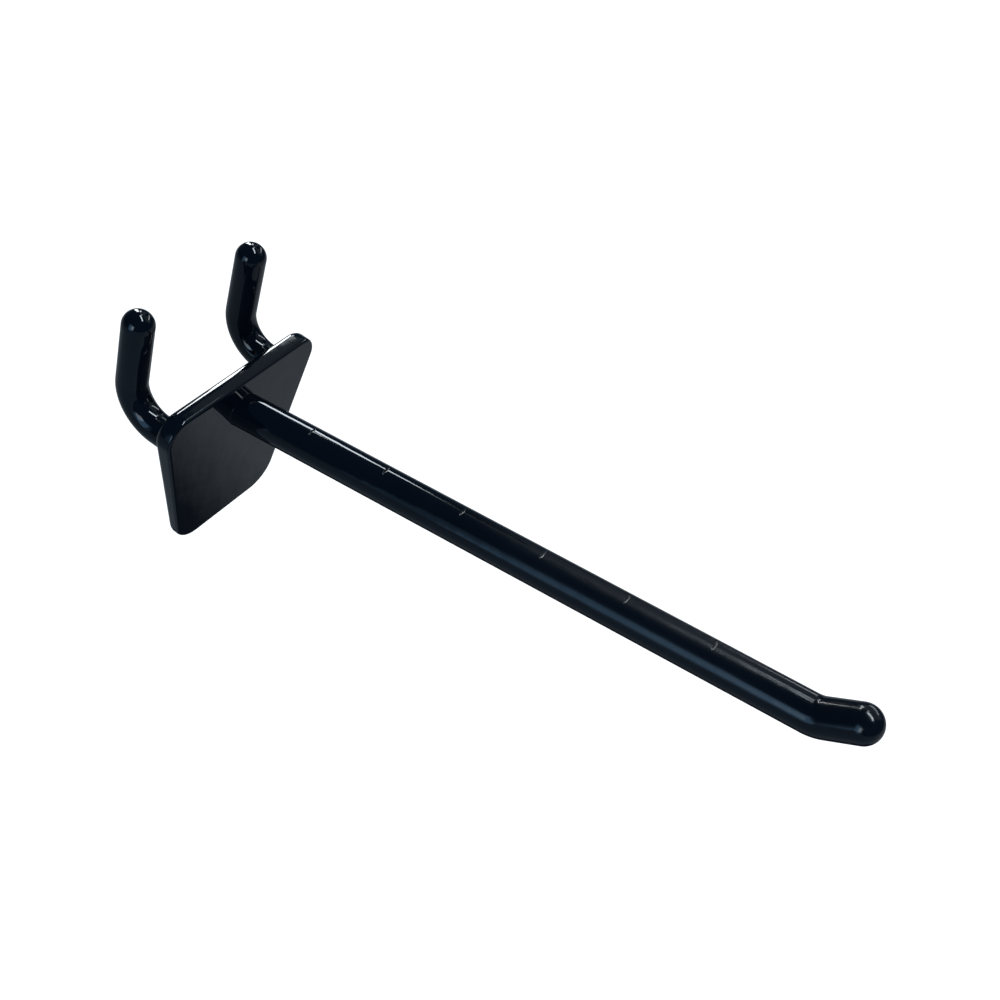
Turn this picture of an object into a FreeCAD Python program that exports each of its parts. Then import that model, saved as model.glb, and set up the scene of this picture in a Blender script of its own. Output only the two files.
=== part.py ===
"""Pegboard hook, moulded in one piece: a round arm, a tapered plate and two bent pegs.

The origin lies on the plate's back face, midway between the two pegs. X runs along the board's row
of holes, +Y points into the board, the arm reaches out along -Y and Z points up. Lengths are in
millimetres and angles in degrees.
"""
import FreeCAD
import Part

import math
import os

# Board that the hook hangs on
hole_pitch = 25.4
board_thickness = 6.35
board_clearance = 0.1

# Pegs, with their bend measured on the centre line
peg_diameter = 5.1
peg_bend_radius = 6.3
peg_upright_length = 11.3
peg_lean_deg = 2.2
peg_root_round = 0.15

# Plate, thickest at its top edge and narrowest at its bottom edge
plate_top_margin = 4.4
plate_side_margin = 1.5
plate_height = 31.95
plate_side_slope_deg = 12.7
plate_top_thickness = 3.35
plate_bottom_thickness = 2.35
plate_top_corner_radius = 3.9
plate_bottom_corner_radius = 5.4
plate_back_round = 1.25
plate_front_round = 0.55

# Arm, with its lengths measured along its own axis from the plate's back face
arm_diameter = 6.15
arm_rise_deg = 8.5
arm_length = 105.0
arm_root_round = 0.15
tip_bend_radius = 5.1
tip_bend_deg = 27.6
tip_length = 5.5

# Notches across the top of the arm
notch_count = 6
notch_first = 17.4
notch_pitch = 14.4
notch_depth = 0.15
notch_angle_deg = 110.0

# Sizes worked out from the ones above
peg_radius = peg_diameter / 2
peg_leg_length = board_thickness + board_clearance + peg_radius - peg_bend_radius
plate_top = peg_radius + plate_top_margin
plate_bottom = plate_top - plate_height
plate_taper = (plate_top_thickness - plate_bottom_thickness) / plate_height
plate_mid_depth = (plate_top_thickness - plate_taper * plate_top) / 2
arm_radius = arm_diameter / 2

ORIGIN = FreeCAD.Vector(0, 0, 0)
ACROSS = FreeCAD.Vector(1, 0, 0)
INTO_BOARD = FreeCAD.Vector(0, 1, 0)
UP = FreeCAD.Vector(0, 0, 1)
ARM_AXIS = FreeCAD.Rotation(ACROSS, -arm_rise_deg).multVec(-INTO_BOARD)
ARM_UP = FreeCAD.Rotation(ACROSS, -arm_rise_deg).multVec(UP)
TOUCH = 1e-4


def front_depth(height):
    """Distance from the back face to the front face at a height."""
    return plate_top_thickness - plate_taper * (plate_top - height)


def side_half_width(height):
    """Half the plate's width at a height, from a side line that clears the peg by the side margin."""
    slope = math.radians(plate_side_slope_deg)
    reach = hole_pitch / 2 * math.cos(slope) + peg_radius + plate_side_margin
    return (reach + height * math.sin(slope)) / math.cos(slope)


def rounded_outline(corners, radii):
    """Closed wire through the corners, with a tangent arc of its own radius at each one."""
    count = len(corners)
    starts = []
    middles = []
    ends = []
    for index, corner in enumerate(corners):
        back = (corners[index - 1] - corner).normalize()
        ahead = (corners[(index + 1) % count] - corner).normalize()
        half_angle = back.getAngle(ahead) / 2
        inward = (back + ahead).normalize()
        cut = radii[index] / math.tan(half_angle)
        sagitta = radii[index] / math.sin(half_angle) - radii[index]
        starts.append(corner + back * cut)
        middles.append(corner + inward * sagitta)
        ends.append(corner + ahead * cut)
    edges = []
    for index in range(count):
        edges.append(Part.Arc(starts[index], middles[index], ends[index]).toShape())
        edges.append(Part.LineSegment(ends[index], starts[(index + 1) % count]).toShape())
    return Part.Wire(edges)


def edges_through(shape, test):
    """Edges of a shape that pass a test at both ends and at two points between them."""
    found = []
    for edge in shape.Edges:
        low, high = edge.ParameterRange
        points = [edge.valueAt(low + share * (high - low)) for share in (0.0, 0.3, 0.7, 1.0)]
        if all(test(point) for point in points):
            found.append(edge)
    return found


def on_back_face(point):
    """True for a point on the plate's back face."""
    return abs(point.y) < TOUCH


def on_front_face(point):
    """True for a point on the plate's sloping front face."""
    return abs(point.y + front_depth(point.z)) < TOUCH


def on_arm_side(point):
    """True for a point on the arm's straight round side."""
    return abs(point.distanceToLine(ORIGIN, ARM_AXIS) - arm_radius) < TOUCH


def on_peg_side(point):
    """True for a point on the side of either peg's leg."""
    peg_centre = FreeCAD.Vector(math.copysign(hole_pitch / 2, point.x), 0, 0)
    return abs(point.distanceToLine(peg_centre, INTO_BOARD) - peg_radius) < TOUCH


def make_plate():
    """Trapezoid plate with round corners, a front face that slopes back downwards and round edges."""
    top_half = side_half_width(plate_top)
    bottom_half = side_half_width(plate_bottom)
    corners = [
        FreeCAD.Vector(-top_half, 0, plate_top),
        FreeCAD.Vector(top_half, 0, plate_top),
        FreeCAD.Vector(bottom_half, 0, plate_bottom),
        FreeCAD.Vector(-bottom_half, 0, plate_bottom),
    ]
    radii = [
        plate_top_corner_radius,
        plate_top_corner_radius,
        plate_bottom_corner_radius,
        plate_bottom_corner_radius,
    ]
    outline = Part.Face(rounded_outline(corners, radii))
    block = outline.extrude(-INTO_BOARD * 2 * plate_top_thickness)
    profile = [
        FreeCAD.Vector(-top_half, 0, plate_bottom),
        FreeCAD.Vector(-top_half, 0, plate_top),
        FreeCAD.Vector(-top_half, -plate_top_thickness, plate_top),
        FreeCAD.Vector(-top_half, -plate_bottom_thickness, plate_bottom),
    ]
    wedge = Part.Face(Part.makePolygon(profile + profile[:1])).extrude(ACROSS * 2 * top_half)
    plate = block.common(wedge)
    plate = plate.makeFillet(plate_back_round, edges_through(plate, on_back_face))
    return plate.makeFillet(plate_front_round, edges_through(plate, on_front_face))


def make_bent_rod(radius, start, direction, run, bend_radius, bend_deg, last_run):
    """Round rod: a straight run, a bend upwards, a last straight run and a domed end."""
    turn_axis = direction.cross(UP).normalize()
    bend_start = start + direction * run
    bend_centre = bend_start + turn_axis.cross(direction) * bend_radius
    turn = FreeCAD.Rotation(turn_axis, bend_deg)
    last_direction = turn.multVec(direction)
    bend_end = bend_centre + turn.multVec(bend_start - bend_centre)
    first_disc = Part.Face(Part.Wire(Part.makeCircle(radius, start, direction)))
    bend_disc = Part.Face(Part.Wire(Part.makeCircle(radius, bend_start, direction)))
    last_disc = Part.Face(Part.Wire(Part.makeCircle(radius, bend_end, last_direction)))
    straight = first_disc.extrude(direction * run)
    bend = bend_disc.revolve(bend_centre, turn_axis, bend_deg)
    last = last_disc.extrude(last_direction * last_run)
    dome = Part.makeSphere(radius, bend_end + last_direction * last_run, last_direction, 0, 90, 360)
    return straight.multiFuse([bend, last, dome])


def make_arm():
    """Arm that rises from the plate and turns up at its tip, rooted inside the plate."""
    start = ARM_AXIS * plate_mid_depth
    run = arm_length - plate_mid_depth
    return make_bent_rod(arm_radius, start, ARM_AXIS, run, tip_bend_radius, tip_bend_deg, tip_length)


def make_peg(side):
    """Peg that passes through the board and turns up behind it, on the left (-1) or right (1)."""
    start = FreeCAD.Vector(side * hole_pitch / 2, -plate_mid_depth, 0)
    run = peg_leg_length + plate_mid_depth
    bend_deg = 90 + peg_lean_deg
    return make_bent_rod(peg_radius, start, INTO_BOARD, run, peg_bend_radius, bend_deg, peg_upright_length)


def make_notch(distance):
    """Triangular prism that cuts one notch across the top of the arm."""
    apex = ARM_AXIS * distance + ARM_UP * (arm_radius - notch_depth) - ACROSS * arm_radius
    rise = 2 * notch_depth
    half_width = rise * math.tan(math.radians(notch_angle_deg / 2))
    outer = apex + ARM_UP * rise + ARM_AXIS * half_width
    inner = apex + ARM_UP * rise - ARM_AXIS * half_width
    return Part.Face(Part.makePolygon([apex, outer, inner, apex])).extrude(ACROSS * arm_diameter)


def make_hook():
    """The whole hook as one solid, with its roots rounded."""
    notches = [make_notch(notch_first + index * notch_pitch) for index in range(notch_count)]
    arm = make_arm().cut(notches)
    hook = make_plate().multiFuse([arm, make_peg(-1), make_peg(1)]).removeSplitter()
    arm_root = edges_through(hook, lambda point: on_front_face(point) and on_arm_side(point))
    hook = hook.makeFillet(arm_root_round, arm_root)
    peg_roots = edges_through(hook, lambda point: on_back_face(point) and on_peg_side(point))
    return hook.makeFillet(peg_root_round, peg_roots)


os.makedirs("parts", exist_ok=True)
make_hook().exportStep("parts/pegboard_hook.step")
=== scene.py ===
"""Looks of the pegboard hook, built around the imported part.

The hook is one moulding in glossy black plastic: a tapered plate, a long round arm with shallow notches
and two bent pegs. Its skin is worked out here as one closed mesh. The hook's sizes are in millimetres,
as in the part's source, and become metres where the mesh is written. The plastic's pattern, the studio
and the camera are in metres. The origin lies on the plate's back face, midway between the pegs. X runs
along the board's row of holes, +Y points into the board, the arm reaches out along -Y and Z points up.
"""

import logging
import math
from dataclasses import dataclass, field
from enum import Enum

import bpy
import numpy as np
from mathutils import Matrix, Quaternion, Vector
from mathutils.geometry import tessellate_polygon

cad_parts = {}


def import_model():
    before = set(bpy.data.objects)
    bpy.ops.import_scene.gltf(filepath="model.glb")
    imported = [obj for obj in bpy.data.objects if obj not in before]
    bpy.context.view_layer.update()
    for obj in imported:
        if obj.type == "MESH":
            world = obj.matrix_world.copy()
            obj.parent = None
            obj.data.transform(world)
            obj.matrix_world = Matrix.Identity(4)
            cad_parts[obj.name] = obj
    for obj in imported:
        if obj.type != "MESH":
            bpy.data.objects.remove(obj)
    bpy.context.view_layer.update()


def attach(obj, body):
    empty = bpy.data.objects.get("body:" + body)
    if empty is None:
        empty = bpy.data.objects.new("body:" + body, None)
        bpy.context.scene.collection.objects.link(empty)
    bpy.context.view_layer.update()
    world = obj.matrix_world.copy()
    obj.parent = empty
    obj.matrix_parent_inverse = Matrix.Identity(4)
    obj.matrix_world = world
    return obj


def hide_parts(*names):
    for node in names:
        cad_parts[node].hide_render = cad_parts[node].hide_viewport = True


MM = 0.001
ACROSS = np.array([1.0, 0.0, 0.0])
INTO_BOARD = np.array([0.0, 1.0, 0.0])
UP = np.array([0.0, 0.0, 1.0])
NODE = "pegboard_hook"
BODY = "root"

Pair = tuple[float, float]
Triple = tuple[float, float, float]
Colour = tuple[float, float, float, float]
Tree = bpy.types.NodeTree
Socket = bpy.types.NodeSocket

log = logging.getLogger(NODE)


class Winding(Enum):
    """Order in which a grid's faces take their corners, as a step through the list of corners."""

    COLUMNS_FIRST = 1
    ROWS_FIRST = -1


def unit(vectors: np.ndarray) -> np.ndarray:
    """Vectors divided by their own lengths, along the last axis."""
    return vectors / np.linalg.norm(vectors, axis=-1, keepdims=True)


def arc_between(first: np.ndarray, last: np.ndarray, steps: int) -> np.ndarray:
    """Unit vectors that sweep evenly from one unit vector to another.

    The vector at share t of the sweep is first times sin((1 - t) a) plus last times sin(t a), divided
    by sin(a), where a is the angle between the two.

    Args:
        first: Unit vectors at the start, one for each column.
        last: Unit vectors at the end, one for each column.
        steps: Number of steps in the sweep.

    Returns:
        Array of steps + 1 rows, each with one vector for each column.
    """
    angle = np.arccos(np.clip(np.sum(first * last, axis=-1, keepdims=True), -1.0, 1.0))
    share = np.linspace(0.0, 1.0, steps + 1)[:, None, None]
    return (np.sin((1.0 - share) * angle) * first + np.sin(share * angle) * last) / np.sin(angle)


def soft_least(first: np.ndarray, second: np.ndarray, ease: float) -> np.ndarray:
    """Lesser of two heights, with the crease between them eased.

    The result is half the sum of the two, less half the root of their squared difference plus the
    squared ease.

    Args:
        first: One set of heights.
        second: The other set of heights.
        ease: Height over which the crease is rounded.

    Returns:
        The eased lesser heights.
    """
    return 0.5 * (first + second - np.sqrt((first - second) ** 2 + ease**2))


@dataclass
class Skin:
    """Closed surface that is gathered from grids and flat faces, in millimetres."""

    points: list[np.ndarray] = field(default_factory=list)
    quads: list[np.ndarray] = field(default_factory=list)
    triangles: list[np.ndarray] = field(default_factory=list)
    count: int = 0
    weld_decimals: int = 6

    def _keep(self, points: np.ndarray) -> int:
        """Keeps a list of points.

        Args:
            points: Points as rows of three.

        Returns:
            Number of the first of them in the skin.
        """
        first = self.count
        self.points.append(points)
        self.count += len(points)
        return first

    def add_grid(self, grid: np.ndarray, winding: Winding, pole: np.ndarray | None = None) -> None:
        """Adds a grid whose last column joins its first.

        Each face takes a point, the next one in its row and the two beside them in the next row. A pole
        closes the last row with a fan of triangles.

        Args:
            grid: Points as rows by columns by three.
            winding: Order of the corners that makes the faces look outwards.
            pole: Point that closes the last row, if there is one.
        """
        rows, columns, _ = grid.shape
        first = self._keep(grid.reshape(-1, 3))
        row, column = np.meshgrid(np.arange(rows - 1), np.arange(columns), indexing="ij")
        after = (column + 1) % columns
        near, far = first + row * columns, first + (row + 1) * columns
        quads = np.stack([near + column, near + after, far + after, far + column], axis=-1)
        self.quads.append(quads.reshape(-1, 4)[:, :: winding.value])
        if pole is None:
            return
        top = self._keep(pole[None, :])
        ring = first + (rows - 1) * columns + np.arange(columns)
        fan = np.stack([ring, np.roll(ring, -1), np.full(columns, top)], axis=-1)
        self.triangles.append(fan[:, :: winding.value])

    def add_flat(self, loops: list[np.ndarray], normal: np.ndarray) -> None:
        """Adds a flat face between an outer loop and the loops of its holes.

        Args:
            loops: Loops of points in one plane, the outer one first.
            normal: Direction in which the face looks.
        """
        points = np.concatenate(loops)
        first = self._keep(points)
        fill = np.array(tessellate_polygon([[Vector(point) for point in loop] for loop in loops]))
        sides = points[fill[:, 1:]] - points[fill[:, :1]]
        away = np.cross(sides[:, 0], sides[:, 1]) @ normal < 0.0
        fill[away] = fill[away, ::-1]
        self.triangles.append(first + fill)

    def to_mesh(self, name: str) -> bpy.types.Mesh:
        """Joins the grids and faces where their points meet, and writes the mesh in metres.

        Points meet where they agree to the decimals of the weld.

        Args:
            name: Name of the mesh.

        Returns:
            The closed mesh, shaded smooth.
        """
        points = np.concatenate(self.points)
        places = np.round(points, self.weld_decimals)
        _, kept, number = np.unique(places, axis=0, return_index=True, return_inverse=True)
        number = number.reshape(-1)
        faces = [number[np.concatenate(part)].tolist() for part in (self.quads, self.triangles)]
        mesh = bpy.data.meshes.new(name)
        mesh.from_pydata((points[kept] * MM).tolist(), [], faces[0] + faces[1])
        mesh.validate()
        mesh.polygons.foreach_set("use_smooth", np.ones(len(mesh.polygons), bool))
        mesh.update()
        return mesh


@dataclass(frozen=True)
class Plane:
    """Flat face of the plate, as its outward unit normal and its distance from the origin."""

    normal: np.ndarray
    distance: float


@dataclass(frozen=True)
class Rod:
    """Round rod from a flat face: a straight run, a bend, a last straight run and a dome."""

    root: Plane
    start: np.ndarray
    direction: np.ndarray
    bend_towards: np.ndarray
    radius: float
    run: float
    bend_radius: float
    bend_deg: float
    last_run: float
    root_round: float
    columns: int = 96
    round_steps: int = 6
    bend_steps: int = 28
    dome_steps: int = 18
    rim_width: float = 0.03

    @property
    def bend_length(self) -> float:
        """Length of the bend on the centre line."""
        return self.bend_radius * math.radians(self.bend_deg)

    def winding(self) -> Winding:
        """Order of the corners that makes the rod's faces look away from its centre line."""
        outwards = np.cross(ACROSS, self.direction) @ self.bend_towards > 0.0
        return Winding.COLUMNS_FIRST if outwards else Winding.ROWS_FIRST

    def around(self) -> np.ndarray:
        """Angles of the columns, from the bend's side of the rod towards +X."""
        return np.arange(self.columns) * (2.0 * math.pi / self.columns)

    def path(self, stations: np.ndarray) -> tuple[np.ndarray, np.ndarray, np.ndarray]:
        """Centre line of the rod.

        The line goes straight for the run, then turns by the distance gone round the bend divided by
        the bend's radius, and goes straight again.

        Args:
            stations: Distances along the centre line from its start.

        Returns:
            Centres, directions along the line, and directions across it on the bend's side.
        """
        whole_turn = math.radians(self.bend_deg)
        turned = np.clip((stations - self.run) / self.bend_radius, 0.0, whole_turn)[:, None]
        along = np.cos(turned) * self.direction + np.sin(turned) * self.bend_towards
        across = np.cos(turned) * self.bend_towards - np.sin(turned) * self.direction
        before = np.minimum(stations, self.run)[:, None]
        after = np.maximum(stations - self.run - self.bend_length, 0.0)[:, None]
        swing = np.sin(turned) * self.direction + (1.0 - np.cos(turned)) * self.bend_towards
        centres = self.start + before * self.direction + self.bend_radius * swing + after * along
        return centres, along, across

    def stations(self) -> np.ndarray:
        """Distances along the centre line at which the rod gets a ring of points."""
        bend = self.run + np.linspace(0.0, self.bend_length, self.bend_steps + 1)
        return np.append(bend, bend[-1] + self.last_run)

    def heights(self, stations: np.ndarray) -> np.ndarray:
        """Heights of the rings' points above the centre line: the radius times the cosine of the angle.

        Args:
            stations: Distances along the centre line, one for each ring.

        Returns:
            Heights as rings by columns.
        """
        return np.tile(self.radius * np.cos(self.around()), (len(stations), 1))

    def root_rings(self) -> np.ndarray:
        """Rings from the flat face up to the rod's side, round a small ball that rolls in the corner.

        The ball's centre is one ball radius off the face, and the rod's radius and one ball radius off
        the centre line. Each column sweeps round it from the face to the rod. A ring on the face itself
        comes first, so that the face stays flat.

        Returns:
            Points as rings by columns by three.
        """
        angle = self.around()[:, None]
        out = np.sin(angle) * ACROSS + np.cos(angle) * self.bend_towards
        lift = out @ self.root.normal
        reach = self.radius + self.root_round
        height = self.root.distance + self.root_round - reach * lift - self.start @ self.root.normal
        station = height / (self.direction @ self.root.normal)
        ball = self.start + station[:, None] * self.direction + reach * out
        face = np.broadcast_to(-self.root.normal, out.shape)
        rounded = ball + self.root_round * arc_between(face, -out, self.round_steps)
        over_face = unit(out - lift[:, None] * self.root.normal)
        return np.concatenate([rounded[:1] + self.rim_width * over_face, rounded])

    def build(self, skin: Skin) -> np.ndarray:
        """Adds the rod to the skin.

        A ring's point lies sideways by the radius times the sine of its angle and up by its height. In
        the dome, at angle e, rings shrink by the cosine of e and move on by the radius times the sine
        of e.

        Args:
            skin: Skin that takes the rod.

        Returns:
            The ring on the flat face where the rod starts.
        """
        stations = self.stations()
        centres, along, across = self.path(stations)
        sideways = self.radius * np.sin(self.around())
        rings = centres[:, None] + sideways[:, None] * ACROSS
        rings = rings + self.heights(stations)[..., None] * across[:, None]
        rise = np.linspace(0.0, math.pi / 2, self.dome_steps + 1)[1:-1, None, None]
        shrunk = np.cos(rise) * (rings[-1] - centres[-1])
        dome = centres[-1] + shrunk + self.radius * np.sin(rise) * along[-1]
        root = self.root_rings()
        pole = centres[-1] + self.radius * along[-1]
        skin.add_grid(np.concatenate([root, rings, dome]), self.winding(), pole)
        return root[0]


@dataclass(frozen=True)
class NotchedRod(Rod):
    """Rod with shallow V notches across its top."""

    notch_count: int = 6
    notch_first: float = 17.4
    notch_pitch: float = 14.4
    notch_depth: float = 0.15
    notch_angle_deg: float = 110.0
    notch_ease: float = 0.008
    notch_steps: int = 26
    notch_reach: float = 0.26

    def notches(self) -> np.ndarray:
        """Distances of the notches along the centre line."""
        return self.notch_first + np.arange(self.notch_count) * self.notch_pitch

    def stations(self) -> np.ndarray:
        """Distances along the centre line at which the rod gets a ring, crowded at each notch.

        Returns:
            The distances in order.
        """
        crowd = np.linspace(-self.notch_reach, self.notch_reach, 2 * self.notch_steps + 1)
        notched = (self.notches()[:, None] + crowd).reshape(-1)
        return np.concatenate([notched, super().stations()])

    def heights(self, stations: np.ndarray) -> np.ndarray:
        """Heights of the rings' points, cut down to the notches' floors.

        A floor rises from the notch's bottom by the distance to the nearest notch, eased at the bottom,
        divided by the tangent of half the notch's angle.

        Args:
            stations: Distances along the centre line, one for each ring.

        Returns:
            Heights as rings by columns.
        """
        nearest = np.min(np.abs(stations[:, None] - self.notches()), axis=1)
        eased = np.hypot(nearest, self.notch_ease) - self.notch_ease
        spread = math.tan(math.radians(self.notch_angle_deg / 2))
        floor = self.radius - self.notch_depth + eased / spread
        return soft_least(super().heights(stations), floor[:, None], self.notch_ease)


@dataclass(frozen=True)
class Plate:
    """Trapezoid plate with round corners, thicker at its top edge than at its bottom edge."""

    peg_pitch: float = 25.4
    peg_radius: float = 2.55
    top_margin: float = 4.4
    side_margin: float = 1.5
    height: float = 31.95
    side_slope_deg: float = 12.7
    top_thickness: float = 3.35
    bottom_thickness: float = 2.35
    top_corner_radius: float = 3.9
    bottom_corner_radius: float = 5.4
    back_round: float = 1.25
    front_round: float = 0.55
    corner_steps: int = 24
    round_steps: int = 14
    rim_width: float = 0.04

    @property
    def top(self) -> float:
        """Height of the top edge."""
        return self.peg_radius + self.top_margin

    @property
    def side_distance(self) -> float:
        """Distance from the origin to the line of a side, which clears the peg by the side margin."""
        slope = math.radians(self.side_slope_deg)
        return self.peg_pitch / 2 * math.cos(slope) + self.peg_radius + self.side_margin

    @property
    def taper(self) -> float:
        """Loss of thickness for each unit of height."""
        return (self.top_thickness - self.bottom_thickness) / self.height

    def back(self) -> Plane:
        """Back face, which lies against the board."""
        return Plane(INTO_BOARD, 0.0)

    def front(self) -> Plane:
        """Front face, which slopes back downwards.

        Returns:
            The plane of the face.
        """
        slanted = np.array([0.0, -1.0, -self.taper])
        length = np.linalg.norm(slanted)
        depth_at_origin = self.top_thickness - self.taper * self.top
        return Plane(slanted / length, depth_at_origin / length)

    def outline(self) -> tuple[np.ndarray, np.ndarray]:
        """Outline of the plate, clockwise from its upper right corner as seen from the front.

        A corner's point is its centre plus its radius times its normal. The normal turns from straight
        up to the side's normal at the upper corner, and on to straight down at the lower one. The left
        half is the right half's mirror image. Straight runs join the corners.

        Returns:
            Points and outward normals in the plane of the back face.
        """
        slope = math.radians(self.side_slope_deg)
        bottom = self.top - self.height
        corners = (
            (self.top_corner_radius, self.top - self.top_corner_radius, math.pi / 2, -slope),
            (self.bottom_corner_radius, bottom + self.bottom_corner_radius, -slope, -math.pi / 2),
        )
        points, normals = [], []
        for radius, level, first, last in corners:
            turned = np.linspace(first, last, self.corner_steps + 1)[:, None]
            normal = np.cos(turned) * ACROSS + np.sin(turned) * UP
            sideways = (self.side_distance - radius + level * math.sin(slope)) / math.cos(slope)
            points.append(sideways * ACROSS + level * UP + radius * normal)
            normals.append(normal)
        mirror = np.array([-1.0, 1.0, 1.0])
        right = [np.concatenate(part) for part in (points, normals)]
        points, normals = [np.concatenate([half, half[::-1] * mirror]) for half in right]
        return points, normals

    def build(self, skin: Skin, back_holes: list[np.ndarray], front_holes: list[np.ndarray]) -> None:
        """Adds the plate's edge and its two flat faces to the skin.

        The edge is a profile carried round the outline: a quarter round from the back face to the side,
        then a smaller round from the side to the front face. Each round's centre lies one radius in
        from the side and one radius behind its face. A narrow rim on each face comes before and after,
        so that the faces stay flat.

        Args:
            skin: Skin that takes the plate.
            back_holes: Loops where pegs leave the back face.
            front_holes: Loops where the arm leaves the front face.
        """
        points, normals = self.outline()
        back, front = self.back(), self.front()
        back_centre = points - self.back_round * (normals + back.normal)
        facing_back = np.broadcast_to(back.normal, normals.shape)
        back_arc = arc_between(facing_back, normals, self.round_steps)
        back_rows = back_centre + self.back_round * back_arc
        inset = points - self.front_round * normals
        depth = (front.distance - self.front_round - inset @ front.normal) / front.normal[1]
        front_centre = inset + depth[:, None] * INTO_BOARD
        facing_front = np.broadcast_to(front.normal, normals.shape)
        front_arc = arc_between(normals, facing_front, self.round_steps)
        front_rows = front_centre + self.front_round * front_arc
        over_front = unit(normals - (normals @ front.normal)[:, None] * front.normal)
        back_rim = back_rows[:1] - self.rim_width * normals
        front_rim = front_rows[-1:] - self.rim_width * over_front
        edge = np.concatenate([back_rim, back_rows, front_rows, front_rim])
        skin.add_grid(edge, Winding.ROWS_FIRST)
        skin.add_flat([back_rim[0], *back_holes], back.normal)
        skin.add_flat([front_rim[0], *front_holes], front.normal)


class Tone(Enum):
    """Colours of the plastic under plain light, as linear red, green, blue and opacity."""

    DEEP = (0.0006, 0.0016, 0.0040, 1.0)
    PALE = (0.0012, 0.0028, 0.0062, 1.0)


class Step(Enum):
    """Arithmetic steps of the materials and the world, by the names of their operations."""

    SUM = "ADD"
    PRODUCT = "MULTIPLY"
    DIFFERENCE = "SUBTRACT"
    GREATER = "MAXIMUM"
    SIZE = "ABSOLUTE"
    FOLD = "PINGPONG"


def add_step(tree: Tree, kind: Step, *values: Socket | float) -> Socket:
    """Adds an arithmetic step.

    Args:
        tree: Node tree that takes the step.
        kind: What the step does.
        values: Values that it works on, as sockets or as plain numbers.

    Returns:
        The step's result.
    """
    node = tree.nodes.new("ShaderNodeMath")
    node.operation = kind.value
    for value, socket in zip(values, node.inputs):
        if isinstance(value, Socket):
            tree.links.new(value, socket)
        else:
            socket.default_value = value
    return node.outputs["Value"]


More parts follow.
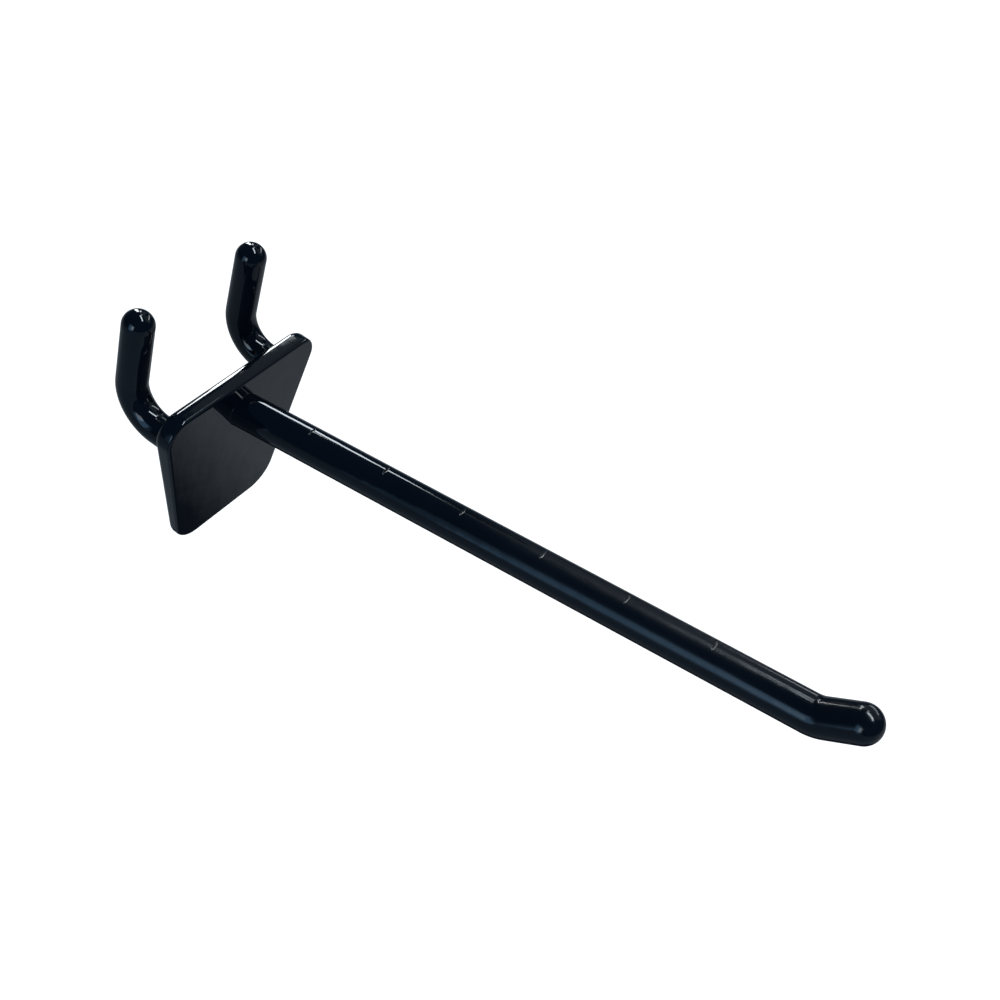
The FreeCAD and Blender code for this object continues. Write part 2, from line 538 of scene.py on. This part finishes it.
@dataclass(frozen=True)
class GlossPlastic:
    """Black plastic with a blue cast: glossy, satin along the arm and a little dull in its notches.

    Lengths are in metres. The satin starts and ends at distances along -Y from the plate's back face.
    The margins of the dull places are multiples of a notch's half width, of half the row of notches
    and of a notch's depth.
    """

    name: str = "hook_gloss_plastic"
    ior: float = 1.5
    gloss_roughness: float = 0.07
    satin_roughness: float = 0.26
    notch_roughness: float = 0.12
    satin_begin: Pair = (0.026, 0.070)
    satin_end: Pair = (0.082, 0.104)
    satin_at_tip: float = 0.55
    notch_margin: float = 1.3
    row_margin: float = 0.98
    crown_margin: float = 1.2
    noise_detail: float = 3.0
    cloud_scale: float = 120.0
    wave_scale: float = 85.0
    peel_scale: float = 750.0
    streak_scale: float = 2600.0
    streak_stretch: float = 0.03
    streak_range: Pair = (0.25, 0.75)
    streak_satin: Pair = (0.75, 1.0)
    wave_height: float = 0.00012
    peel_height: float = 0.000002
    streak_height: float = 0.000006

    def noise(self, tree: Tree, place: Socket, scale: float) -> Socket:
        """Adds a noise pattern.

        Args:
            tree: Node tree that takes the pattern.
            place: Coordinates of the pattern.
            scale: Number of blotches in a metre.

        Returns:
            The pattern's value, about 0.5 on average.
        """
        pattern = tree.nodes.new("ShaderNodeTexNoise")
        pattern.inputs["Scale"].default_value = scale
        pattern.inputs["Detail"].default_value = self.noise_detail
        tree.links.new(place, pattern.inputs["Vector"])
        return pattern.outputs["Fac"]

    def ranged(self, tree: Tree, value: Socket, source: Pair, target: Pair) -> Socket:
        """Maps a value smoothly from one range to another.

        Args:
            tree: Node tree that takes the step.
            value: Value to map.
            source: Ends of the value's own range.
            target: Results at those ends.

        Returns:
            The mapped value, kept inside the target range.
        """
        step = tree.nodes.new("ShaderNodeMapRange")
        step.interpolation_type = "SMOOTHSTEP"
        step.inputs["From Min"].default_value, step.inputs["From Max"].default_value = source
        step.inputs["To Min"].default_value, step.inputs["To Max"].default_value = target
        tree.links.new(value, step.inputs["Value"])
        return step.outputs["Result"]

    def satin(self, tree: Tree, place: Socket) -> Socket:
        """Share of satin, which rises past the arm's root and falls again towards its tip.

        Args:
            tree: Node tree that takes the steps.
            place: Place on the part.

        Returns:
            Share between 0 and 1.
        """
        axes = tree.nodes.new("ShaderNodeSeparateXYZ")
        tree.links.new(place, axes.inputs["Vector"])
        begin = tuple(-distance for distance in self.satin_begin[::-1])
        end = tuple(-distance for distance in self.satin_end[::-1])
        rising = self.ranged(tree, axes.outputs["Y"], begin, (1.0, 0.0))
        falling = self.ranged(tree, axes.outputs["Y"], end, (self.satin_at_tip, 1.0))
        return add_step(tree, Step.PRODUCT, rising, falling)

    def reach(self, tree: Tree, place: Socket, direction: np.ndarray) -> Socket:
        """Distance from the origin along a direction.

        Args:
            tree: Node tree that takes the step.
            place: Place on the part.
            direction: Unit vector of the direction.

        Returns:
            The distance.
        """
        node = tree.nodes.new("ShaderNodeVectorMath")
        node.operation = "DOT_PRODUCT"
        node.inputs[1].default_value = direction
        tree.links.new(place, node.inputs[0])
        return node.outputs["Value"]

    def notched(self, tree: Tree, place: Socket, arm: NotchedRod) -> Socket:
        """Share of dull wall, which is 1 in the arm's notches and 0 elsewhere.

        A place lies in a notch where it is near a multiple of the pitch from the first notch, within
        the row of notches and high on the arm. The share falls off smoothly at each of these limits.

        Args:
            tree: Node tree that takes the steps.
            place: Place on the part.
            arm: Arm with the notches.

        Returns:
            Share between 0 and 1.
        """
        depth, pitch, first = arm.notch_depth * MM, arm.notch_pitch * MM, arm.notch_first * MM
        half_width = depth * math.tan(math.radians(arm.notch_angle_deg / 2))
        half_row = pitch * arm.notch_count / 2
        station = self.reach(tree, place, arm.direction)
        from_first = add_step(tree, Step.DIFFERENCE, station, first)
        from_notch = add_step(tree, Step.FOLD, from_first, pitch / 2)
        from_middle = add_step(tree, Step.DIFFERENCE, from_first, half_row - pitch / 2)
        off_middle = add_step(tree, Step.SIZE, from_middle)
        inside = self.ranged(tree, from_notch, (half_width, self.notch_margin * half_width), (1.0, 0.0))
        in_row = self.ranged(tree, off_middle, (self.row_margin * half_row, half_row), (1.0, 0.0))
        crown = arm.radius * MM - self.crown_margin * depth
        height = self.reach(tree, place, arm.bend_towards)
        on_top = self.ranged(tree, height, (crown - depth / 2, crown), (0.0, 1.0))
        return add_step(tree, Step.PRODUCT, add_step(tree, Step.PRODUCT, inside, in_row), on_top)

    def bumped(self, tree: Tree, height: Socket, depth: float, below: Socket | None = None) -> Socket:
        """Adds a fine relief.

        Args:
            tree: Node tree that takes the relief.
            height: Pattern of the relief, between 0 and 1.
            depth: Height of the relief in metres.
            below: Relief that lies under this one, if there is one.

        Returns:
            The normal with the relief.
        """
        relief = tree.nodes.new("ShaderNodeBump")
        relief.inputs["Distance"].default_value = depth
        tree.links.new(height, relief.inputs["Height"])
        if below is not None:
            tree.links.new(below, relief.inputs["Normal"])
        return relief.outputs["Normal"]

    def build(self, arm: NotchedRod) -> bpy.types.Material:
        """Makes the material.

        Args:
            arm: Arm with the notches.

        Returns:
            The node material, in the part's own coordinates.
        """
        material = bpy.data.materials.new(self.name)
        material.use_nodes = True
        tree = material.node_tree
        shader = tree.nodes["Principled BSDF"]
        shader.inputs["IOR"].default_value = self.ior
        place = tree.nodes.new("ShaderNodeTexCoord").outputs["Object"]
        drawn = tree.nodes.new("ShaderNodeMapping")
        drawn.inputs["Scale"].default_value = (1.0, self.streak_stretch, 1.0)
        tree.links.new(place, drawn.inputs["Vector"])
        cloud = self.noise(tree, place, self.cloud_scale)
        peel = self.noise(tree, place, self.peel_scale)
        streak = self.noise(tree, drawn.outputs["Vector"], self.streak_scale)
        satin = self.satin(tree, place)
        tint = tree.nodes.new("ShaderNodeValToRGB")
        tint.color_ramp.elements[0].color = Tone.DEEP.value
        tint.color_ramp.elements[1].color = Tone.PALE.value
        tree.links.new(cloud, tint.inputs["Fac"])
        tree.links.new(tint.outputs["Color"], shader.inputs["Base Color"])
        streaked = self.ranged(tree, streak, self.streak_range, self.streak_satin)
        uneven = add_step(tree, Step.PRODUCT, satin, streaked)
        worn = self.ranged(tree, uneven, (0.0, 1.0), (self.gloss_roughness, self.satin_roughness))
        cut = add_step(tree, Step.PRODUCT, self.notched(tree, place, arm), self.notch_roughness)
        tree.links.new(add_step(tree, Step.GREATER, worn, cut), shader.inputs["Roughness"])
        waved = self.bumped(tree, self.noise(tree, place, self.wave_scale), self.wave_height)
        score = add_step(tree, Step.PRODUCT, satin, streak)
        scored = self.bumped(tree, score, self.streak_height, waved)
        tree.links.new(self.bumped(tree, peel, self.peel_height, scored), shader.inputs["Normal"])
        return material


@dataclass(frozen=True)
class Hook:
    """The whole hook: arm, plate and two pegs as one moulding."""

    plate: Plate = Plate()
    finish: GlossPlastic = GlossPlastic()
    arm_rise_deg: float = 8.5

    def arm(self) -> NotchedRod:
        """Sizes of the arm, which rises from the plate's front face and turns up at its tip.

        Returns:
            The arm.
        """
        rise = math.radians(self.arm_rise_deg)
        return NotchedRod(
            root=self.plate.front(),
            start=np.zeros(3),
            direction=-math.cos(rise) * INTO_BOARD + math.sin(rise) * UP,
            bend_towards=math.sin(rise) * INTO_BOARD + math.cos(rise) * UP,
            radius=3.075,
            run=105.0,
            bend_radius=5.1,
            bend_deg=27.6,
            last_run=5.5,
            root_round=0.06,
            columns=120,
        )

    def peg(self, side: int) -> Rod:
        """Sizes of a peg, which passes through the board and turns up behind it.

        Args:
            side: -1 for the left peg, 1 for the right one.

        Returns:
            The peg.
        """
        return Rod(
            root=self.plate.back(),
            start=side * self.plate.peg_pitch / 2 * ACROSS,
            direction=INTO_BOARD,
            bend_towards=UP,
            radius=self.plate.peg_radius,
            run=2.7,
            bend_radius=6.3,
            bend_deg=92.2,
            last_run=11.3,
            root_round=0.15,
        )

    def build(self) -> bpy.types.Object:
        """Makes the moulding, dresses it and fits it to the part in place of its solid.

        Returns:
            The moulding.
        """
        skin = Skin()
        arm = self.arm()
        arm_loop = arm.build(skin)
        peg_loops = [self.peg(side).build(skin) for side in (-1, 1)]
        self.plate.build(skin, peg_loops, [arm_loop])
        piece = bpy.data.objects.new("hook_moulding", skin.to_mesh("hook_moulding"))
        bpy.context.scene.collection.objects.link(piece)
        piece.data.materials.append(self.finish.build(arm))
        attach(piece, BODY)
        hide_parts(NODE)
        return piece


def towards(azimuth_deg: float, elevation_deg: float) -> Vector:
    """Unit vector in a direction.

    Args:
        azimuth_deg: Angle from +Y towards +X.
        elevation_deg: Angle above the level.

    Returns:
        The unit vector.
    """
    azimuth, elevation = math.radians(azimuth_deg), math.radians(elevation_deg)
    level = math.cos(elevation)
    return Vector((math.sin(azimuth) * level, math.cos(azimuth) * level, math.sin(elevation)))


@dataclass(frozen=True)
class Softbox:
    """Rectangular lamp that faces the hook from a distance in metres.

    Its size is given by the angles that it fills. A lamp that isn't mirrored lights the plastic but
    shows in no reflection.
    """

    name: str
    azimuth_deg: float
    elevation_deg: float
    width_deg: float
    height_deg: float
    radiance: float
    colour: Triple = (1.0, 1.0, 1.0)
    roll_deg: float = 0.0
    distance: float = 2.0
    mirrored: bool = True

    def build(self, target: Vector) -> bpy.types.Object:
        """Makes the lamp, whose power is the radiance times pi times its area.

        A side is twice the distance times the tangent of half the angle that it fills.

        Args:
            target: Point that the lamp faces.

        Returns:
            The lamp.
        """
        away = towards(self.azimuth_deg, self.elevation_deg)
        roll = Quaternion((0.0, 0.0, 1.0), math.radians(self.roll_deg))
        spread = np.radians([self.width_deg, self.height_deg])
        width, height = 2.0 * self.distance * np.tan(spread / 2.0)
        data = bpy.data.lights.new(self.name, "AREA")
        data.shape = "RECTANGLE"
        data.size, data.size_y = width, height
        data.energy = self.radiance * math.pi * width * height
        data.color = self.colour
        lamp = bpy.data.objects.new(self.name, data)
        lamp.location = target + self.distance * away
        lamp.rotation_euler = (away.to_track_quat("Z", "Y") @ roll).to_euler()
        lamp.visible_camera = False
        lamp.visible_glossy = self.mirrored
        bpy.context.scene.collection.objects.link(lamp)
        return lamp


@dataclass(frozen=True)
class Studio:
    """Pale floor far below the hook with painted shade towards -X, dark flags, one of them painted
    shade, lamps and surround, in metres.
    """

    target: Triple = (0.0, -0.05, 0.0)
    floor_level: float = -0.35
    floor_half_size: float = 3.0
    # Painted shade: the floor's paper is darker towards -X, and the hook's reflections show it.
    floor_painted_shade: Colour = (0.066, 0.098, 0.126, 1.0)
    floor_pale: Colour = (0.172, 0.186, 0.198, 1.0)
    floor_grade: Pair = (-0.25, 0.25)
    floor_glow: float = 0.97
    floor_gloss_share: float = 0.046
    surround: Colour = (0.012, 0.03, 0.055, 1.0)
    surround_gloss_share: float = 0.01
    # The sheet on the floor is painted shade that only reflections show, fading into the floor along X.
    # The tip flag takes the same dark tone.
    shade_and_flag_dark: Colour = (0.018, 0.022, 0.026, 1.0)
    painted_shade_fade_tone: Colour = (0.196, 0.207, 0.216, 1.0)
    shade_and_flag_grade: Pair = (0.214, 0.262)
    painted_shade_across: Pair = (-0.03, 0.262)
    painted_shade_along: Pair = (-0.40, 0.15)
    painted_shade_lift: float = 0.001
    tip: Triple = (0.0, -0.1085, 0.018)
    tip_flag_aim: Pair = (42.0, 21.0)
    tip_flag_distance: float = 0.17
    tip_flag_half_size: Pair = (0.019, 0.030)
    lamps: tuple[Softbox, ...] = (
        Softbox("back_right_strip", 39.5, 19.5, 8.0, 33.0, 20.0, (0.93, 0.98, 1.0), roll_deg=5.0),
        Softbox("right_back_box", 52.8, 27.0, 4.8, 13.5, 12.0, (0.84, 0.94, 1.0)),
        Softbox("right_back_glow", 55.0, 35.0, 4.1, 6.0, 2.2, (0.84, 0.94, 1.0)),
        Softbox("overhead_strip", 125.0, 75.0, 41.5, 7.0, 17.0, (0.82, 0.93, 1.0), roll_deg=11.5),
        Softbox("overhead_side_box", 71.0, 58.0, 7.0, 7.0, 6.0, (0.76, 0.90, 1.0)),
        Softbox("right_strip", 100.5, 22.0, 40.0, 4.5, 5.0, (0.88, 0.95, 1.0), roll_deg=-28.0),
        Softbox("right_panel", 100.0, 38.0, 70.0, 41.0, 0.20, (0.80, 0.93, 1.0)),
        Softbox("left_box", -94.0, 12.0, 16.0, 22.0, 2.4, (0.78, 0.90, 1.0)),
        Softbox("left_panel", -83.0, 8.0, 26.0, 34.0, 1.15, (0.32, 0.63, 1.0)),
        Softbox("left_wide_panel", -80.0, 8.0, 33.0, 40.0, 0.3, (0.34, 0.64, 1.0), distance=2.1),
        Softbox("front_fill", -140.0, 18.0, 80.0, 50.0, 2.6, mirrored=False),
        Softbox("rear_fill", 20.0, 20.0, 80.0, 50.0, 1.2, mirrored=False),
    )

    def background_share(self, tree: Tree, gloss_share: float) -> Socket:
        """Share of the white background in what a ray sees.

        It is 1 for the camera and through clear things, and less for reflections.

        Args:
            tree: Node tree that takes the steps.
            gloss_share: Share for reflections.

        Returns:
            The share.
        """
        rays = tree.nodes.new("ShaderNodeLightPath").outputs
        direct = add_step(tree, Step.SUM, rays["Is Camera Ray"], rays["Is Transmission Ray"])
        reflected = add_step(tree, Step.PRODUCT, rays["Is Glossy Ray"], gloss_share)
        return add_step(tree, Step.SUM, direct, reflected)

    def level_corners(self, across: Pair, along: Pair, level: float) -> list[Triple]:
        """Corners of a level card.

        Args:
            across: Its ends along X.
            along: Its ends along Y.
            level: Its height.

        Returns:
            The corners in order round the card.
        """
        (left, right), (front, rear) = across, along
        return [(left, front, level), (right, front, level), (right, rear, level), (left, rear, level)]

    def card(
        self, name: str, corners: list[Triple], grade: Pair, tones: tuple[Colour, Colour]
    ) -> bpy.types.Object:
        """Makes a card of matt paper for the stage, whose colour is graded along X.

        Args:
            name: Name of the card.
            corners: Its corners in order round it.
            grade: Places along X where the grade starts and ends.
            tones: Colours of the paper at those places.

        Returns:
            The card, with its paper as material.
        """
        mesh = bpy.data.meshes.new(name)
        mesh.from_pydata(corners, [], [[0, 1, 2, 3]])
        card = bpy.data.objects.new(name, mesh)
        bpy.context.scene.collection.objects.link(card)
        material = bpy.data.materials.new(name + "_paper")
        material.use_nodes = True
        nodes, links = material.node_tree.nodes, material.node_tree.links
        nodes.clear()
        place = nodes.new("ShaderNodeTexCoord")
        axes = nodes.new("ShaderNodeSeparateXYZ")
        share = nodes.new("ShaderNodeMapRange")
        tint = nodes.new("ShaderNodeValToRGB")
        paper = nodes.new("ShaderNodeBsdfDiffuse")
        output = nodes.new("ShaderNodeOutputMaterial")
        share.inputs["From Min"].default_value, share.inputs["From Max"].default_value = grade
        for element, tone in zip(tint.color_ramp.elements, tones):
            element.color = tone
        links.new(place.outputs["Object"], axes.inputs["Vector"])
        links.new(axes.outputs["X"], share.inputs["Value"])
        links.new(share.outputs["Result"], tint.inputs["Fac"])
        links.new(tint.outputs["Color"], paper.inputs["Color"])
        links.new(paper.outputs["BSDF"], output.inputs["Surface"])
        mesh.materials.append(material)
        return card

    def build_floor(self) -> bpy.types.Object:
        """Makes the floor: grey paper under the lamps, with painted shade towards -X, and a glow of the
        white background on top.

        Returns:
            The floor.
        """
        reach = (-self.floor_half_size, self.floor_half_size)
        # The dark end of the floor's grade is painted shade.
        tones = (self.floor_painted_shade, self.floor_pale)
        corners = self.level_corners(reach, reach, self.floor_level)
        floor = self.card("floor", corners, self.floor_grade, tones)
        tree = floor.data.materials[0].node_tree
        glow = tree.nodes.new("ShaderNodeEmission")
        share = self.background_share(tree, self.floor_gloss_share)
        strength = add_step(tree, Step.PRODUCT, share, self.floor_glow)
        tree.links.new(strength, glow.inputs["Strength"])
        both = tree.nodes.new("ShaderNodeAddShader")
        tree.links.new(tree.nodes["Diffuse BSDF"].outputs["BSDF"], both.inputs[0])
        tree.links.new(glow.outputs["Emission"], both.inputs[1])
        tree.links.new(both.outputs["Shader"], tree.nodes["Material Output"].inputs["Surface"])
        return floor

    def build_flags(self) -> list[bpy.types.Object]:
        """Makes the dark flags, which only reflections show.

        The large one is painted shade: a dark sheet that lies on the floor, fades into it along X and
        casts no shadow. The small one stands between the strip lamp at the back and the arm's tip, and
        keeps that lamp off the tip.

        Returns:
            The flags.
        """
        level = self.floor_level + self.painted_shade_lift
        corners = self.level_corners(self.painted_shade_across, self.painted_shade_along, level)
        # Painted shade: a dark sheet on the floor, seen only in reflections.
        large = self.card("flag", corners, self.shade_and_flag_grade, (self.shade_and_flag_dark, self.painted_shade_fade_tone))
        aim = towards(*self.tip_flag_aim)
        centre = Vector(self.tip) + self.tip_flag_distance * aim
        sideways = self.tip_flag_half_size[0] * aim.cross(Vector(UP)).normalized()
        upright = self.tip_flag_half_size[1] * sideways.cross(aim).normalized()
        turns = ((-1, -1), (1, -1), (1, 1), (-1, 1))
        corners = [tuple(centre + right * sideways + up * upright) for right, up in turns]
        small = self.card("tip_flag", corners, self.shade_and_flag_grade, (self.shade_and_flag_dark, self.shade_and_flag_dark))
        large.visible_shadow = False
        for flag in (large, small):
            flag.visible_camera = False
            flag.visible_diffuse = False
        return [large, small]

    def build_world(self) -> None:
        """Makes the world: a dim surround, and the white background where it shows."""
        world = bpy.data.worlds.new("studio")
        bpy.context.scene.world = world
        world.use_nodes = True
        tree = world.node_tree
        tree.nodes.clear()
        dim = tree.nodes.new("ShaderNodeBackground")
        dim.inputs["Color"].default_value = self.surround
        white = tree.nodes.new("ShaderNodeBackground")
        white.inputs["Color"].default_value = (1.0, 1.0, 1.0, 1.0)
        mixed = tree.nodes.new("ShaderNodeMixShader")
        output = tree.nodes.new("ShaderNodeOutputWorld")
        tree.links.new(self.background_share(tree, self.surround_gloss_share), mixed.inputs["Fac"])
        tree.links.new(dim.outputs["Background"], mixed.inputs[1])
        tree.links.new(white.outputs["Background"], mixed.inputs[2])
        tree.links.new(mixed.outputs["Shader"], output.inputs["Surface"])

    def build(self) -> None:
        """Makes the floor, the flags, the world and the lamps."""
        self.build_floor()
        self.build_flags()
        self.build_world()
        for lamp in self.lamps:
            lamp.build(Vector(self.target))


@dataclass(frozen=True)
class PhotoCamera:
    """Camera at the photo's viewing angle, with its axes in the part's frame."""

    eye: Triple = (-0.13538073, -0.09814877, 0.16131690)
    right: Triple = (0.52171598, -0.81366193, 0.25645018)
    up: Triple = (0.51817162, 0.54102767, 0.66241017)
    back: Triple = (-0.67772458, -0.21270476, 0.70387931)
    sensor: float = 36.0
    focal_share: float = 1.384822
    shift_x: float = -0.037466
    shift_y: float = 0.001091
    clip_start: float = 0.005
    clip_end: float = 20.0

    def build(self) -> bpy.types.Object:
        """Makes the camera and hands it to the scene.

        Returns:
            The camera.
        """
        data = bpy.data.cameras.new("photo_camera")
        data.sensor_width = self.sensor
        data.lens = self.sensor * self.focal_share
        data.shift_x, data.shift_y = self.shift_x, self.shift_y
        data.clip_start, data.clip_end = self.clip_start, self.clip_end
        camera = bpy.data.objects.new("photo_camera", data)
        turned = Matrix((self.right, self.up, self.back)).transposed()
        camera.matrix_world = Matrix.Translation(self.eye) @ turned.to_4x4()
        bpy.context.scene.collection.objects.link(camera)
        bpy.context.scene.camera = camera
        return camera


def main() -> None:
    """Builds the hook, the studio and the camera, and logs the moulding's counts of points and faces.
    """
    logging.basicConfig(level=logging.INFO, format="%(name)s: %(message)s")
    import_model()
    piece = Hook().build()
    log.info("%s: %d points, %d faces", piece.name, len(piece.data.vertices), len(piece.data.polygons))
    Studio().build()
    PhotoCamera().build()
    bpy.context.scene.view_settings.view_transform = "Standard"


if __name__ == "__main__":
    main()
